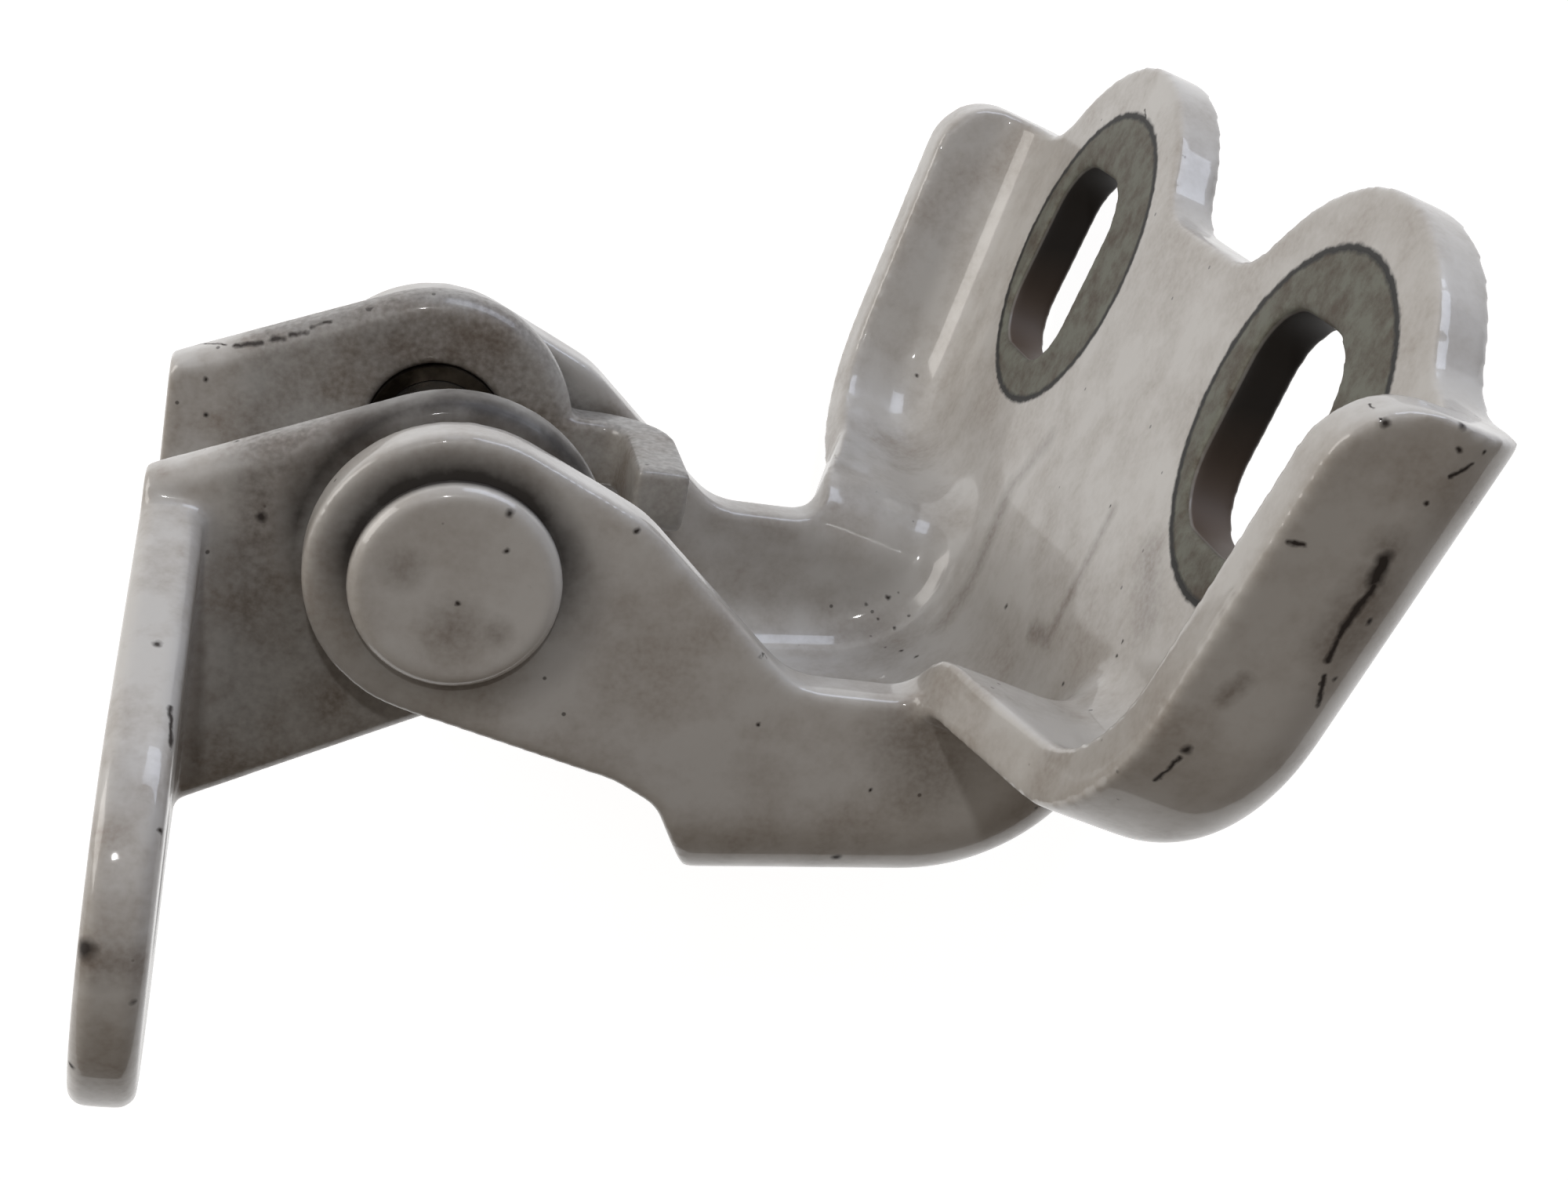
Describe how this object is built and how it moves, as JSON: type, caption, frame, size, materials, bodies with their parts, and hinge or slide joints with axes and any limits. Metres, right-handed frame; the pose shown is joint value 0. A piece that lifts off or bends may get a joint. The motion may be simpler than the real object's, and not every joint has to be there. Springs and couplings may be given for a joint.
{
  "type": "car door hinge",
  "caption": "Pressed-steel car door hinge: a forked pillar leaf and a deep-drawn gooseneck door leaf turning on a headed, riveted pin.",
  "frame": {"origin": "centre of the two pillar bolt holes, on the face of the leaf that lies on the pillar", "axes": "+Z along the pin, up on the car; +X away from the pillar, out of the car; +Y to the front of the car"},
  "size_m": [0.0755, 0.064, 0.0964],
  "materials": {
    "painted_steel": "white body paint over electrocoated pressed steel, gloss, dirty and chipped at edges",
    "pin_steel": "turned steel, head painted over with the leaves, shank bare and greasy",
    "bush_bronze": "sintered bronze, oiled"
  },
  "bodies": {
    "pillar_side": {"pillar_leaf": "painted_steel", "upper_bush": "bush_bronze", "lower_bush": "bush_bronze"},
    "door_side": {"door_leaf": "painted_steel", "hinge_pin": "pin_steel"}
  },
  "joints": [
    {"name": "door_swing", "type": "hinge", "parent": "pillar_side", "child": "door_side", "pos_m": [0.01925, 0.0175, 0], "axis": [0, 0, 1], "range_deg": [-75, 5]}
  ]
}
